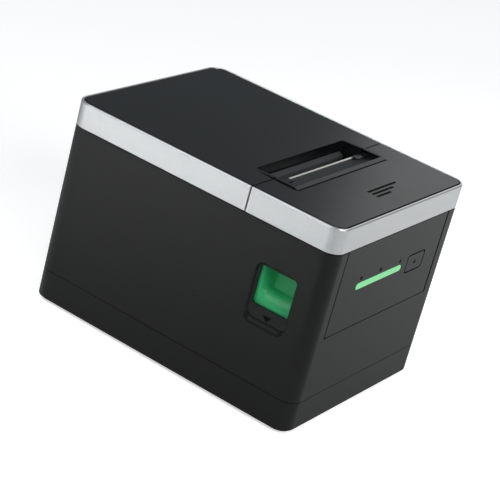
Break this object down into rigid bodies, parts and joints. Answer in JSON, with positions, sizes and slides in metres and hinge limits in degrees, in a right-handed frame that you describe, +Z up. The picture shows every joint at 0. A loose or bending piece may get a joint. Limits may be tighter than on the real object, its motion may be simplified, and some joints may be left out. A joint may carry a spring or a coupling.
{
  "type": "receipt printer",
  "caption": "Desktop thermal receipt printer with a rear-hinged lid, drop-in paper bucket, top paper exit, side release lever and front feed button.",
  "frame": {"origin": "middle of the footprint, at the level the feet rest on", "axes": "+Z up, +Y towards the rear sockets and the lid hinge, +X to the right seen from the front"},
  "size_m": [0.1456, 0.19, 0.1308],
  "materials": {
    "case_plastic": "satin, finely grained",
    "top_plastic": "satin to semi-gloss",
    "silver_paint": "satin metallic silver paint over plastic",
    "green_plastic": "satin",
    "light_green": "translucent light guide",
    "inner_plastic": "matte moulded",
    "steel": "ground",
    "zinc_steel": "zinc plated",
    "aluminium": "extruded",
    "rubber": "matte",
    "nylon": "natural nylon",
    "brass": "machined",
    "board_green": "solder mask",
    "ceramic": "glazed",
    "socket_black": "moulded"
  },
  "bodies": {
    "case": {"main_case": "case_plastic", "base_tray": "case_plastic", "bottom_cover": "inner_plastic", "foot_front_left": "rubber", "foot_front_right": "rubber", "foot_rear_left": "rubber", "foot_rear_right": "rubber", "case_screw_front_left": "zinc_steel", "case_screw_front_right": "zinc_steel", "case_screw_rear_left": "zinc_steel", "case_screw_rear_right": "zinc_steel", "front_cover": "top_plastic", "front_band": "silver_paint", "control_panel": "case_plastic", "status_light_bar": "light_green", "control_board": "board_green", "tear_bar": "steel", "cutter_frame": "inner_plastic", "cutter_motor": "zinc_steel", "mechanism_plate_left": "zinc_steel", "mechanism_plate_right": "zinc_steel", "mechanism_crossplate": "zinc_steel", "feed_motor": "zinc_steel", "idler_stud": "steel", "paper_bucket": "inner_plastic", "paper_sensor": "socket_black", "main_board": "board_green", "rear_panel": "case_plastic", "power_inlet": "socket_black", "usb_socket": "zinc_steel", "network_socket": "zinc_steel", "drawer_socket": "socket_black", "switch_housing": "socket_black", "hinge_pin_left": "steel", "hinge_pin_right": "steel", "head_pivot_pin": "steel", "head_spring": "steel", "lever_spring": "steel"},
    "lid": {"lid_panel": "top_plastic", "lid_band": "silver_paint", "lid_frame": "inner_plastic", "paper_guide": "inner_plastic", "fixed_blade": "steel", "platen_bush_left": "nylon", "platen_bush_right": "nylon"},
    "platen": {"platen_roller": "rubber", "platen_shaft": "steel", "platen_gear": "nylon"},
    "idler": {"idler_gear": "nylon"},
    "feed_pinion": {"feed_pinion": "brass"},
    "print_head": {"head_heat_sink": "aluminium", "heater_strip": "ceramic"},
    "lever": {"release_lever": "green_plastic", "lever_shaft": "steel", "latch_hook_left": "zinc_steel", "latch_hook_right": "zinc_steel"},
    "blade": {"moving_blade": "steel"},
    "cutter_pinion": {"cutter_pinion": "brass"},
    "button": {"feed_button": "case_plastic"},
    "rocker": {"power_rocker": "socket_black"}
  },
  "joints": [
    {"name": "lid_hinge", "type": "hinge", "parent": "case", "child": "lid", "pos_m": [0, 0.093, 0.1122], "axis": [-1, 0, 0], "range_deg": [0, 85]},
    {"name": "platen_turn", "type": "hinge", "parent": "lid", "child": "platen", "pos_m": [0, -0.0242, 0.104], "axis": [1, 0, 0], "continuous": true},
    {"name": "idler_turn", "type": "hinge", "parent": "case", "child": "idler", "pos_m": [0, -0.0242, 0.084], "axis": [1, 0, 0], "continuous": true},
    {"name": "pinion_turn", "type": "hinge", "parent": "case", "child": "feed_pinion", "pos_m": [0, -0.03384, 0.07024], "axis": [1, 0, 0], "continuous": true},
    {"name": "head_pivot", "type": "hinge", "parent": "case", "child": "print_head", "pos_m": [0, -0.0365, 0.091], "axis": [1, 0, 0], "range_deg": [0, 3], "stiffness_Nm_per_rad": 0.6, "springref_deg": -5.73, "deforming": ["head_spring"]},
    {"name": "lever_press", "type": "hinge", "parent": "case", "child": "lever", "pos_m": [0, -0.04, 0.076], "axis": [1, 0, 0], "range_deg": [0, 10], "stiffness_Nm_per_rad": 0.5, "springref_deg": -5.73, "deforming": ["lever_spring"]},
    {"name": "cutter_slide", "type": "slide", "parent": "case", "child": "blade", "axis": [0, 1, 0], "range_m": [0, 0.008]},
    {"name": "cutter_pinion_turn", "type": "hinge", "parent": "case", "child": "cutter_pinion", "pos_m": [0.02, -0.052, 0.1161], "axis": [0, 0, 1], "range_deg": [0, 95.6]},
    {"name": "feed_press", "type": "slide", "parent": "case", "child": "button", "axis": [0, 1, 0], "range_m": [0, 0.0008], "stiffness_N_per_m": 600, "springref_m": -0.001},
    {"name": "power_rock", "type": "hinge", "parent": "case", "child": "rocker", "pos_m": [0.044, 0.0914, 0.018], "axis": [1, 0, 0], "range_deg": [0, 14]}
  ],
  "couplings": [
    {"joint": "idler_turn", "follows": "platen_turn", "ratio": -0.66667},
    {"joint": "pinion_turn", "follows": "platen_turn", "ratio": 1.6667},
    {"joint": "cutter_pinion_turn", "follows": "cutter_slide", "rad_per_m": 208.33}
  ]
}
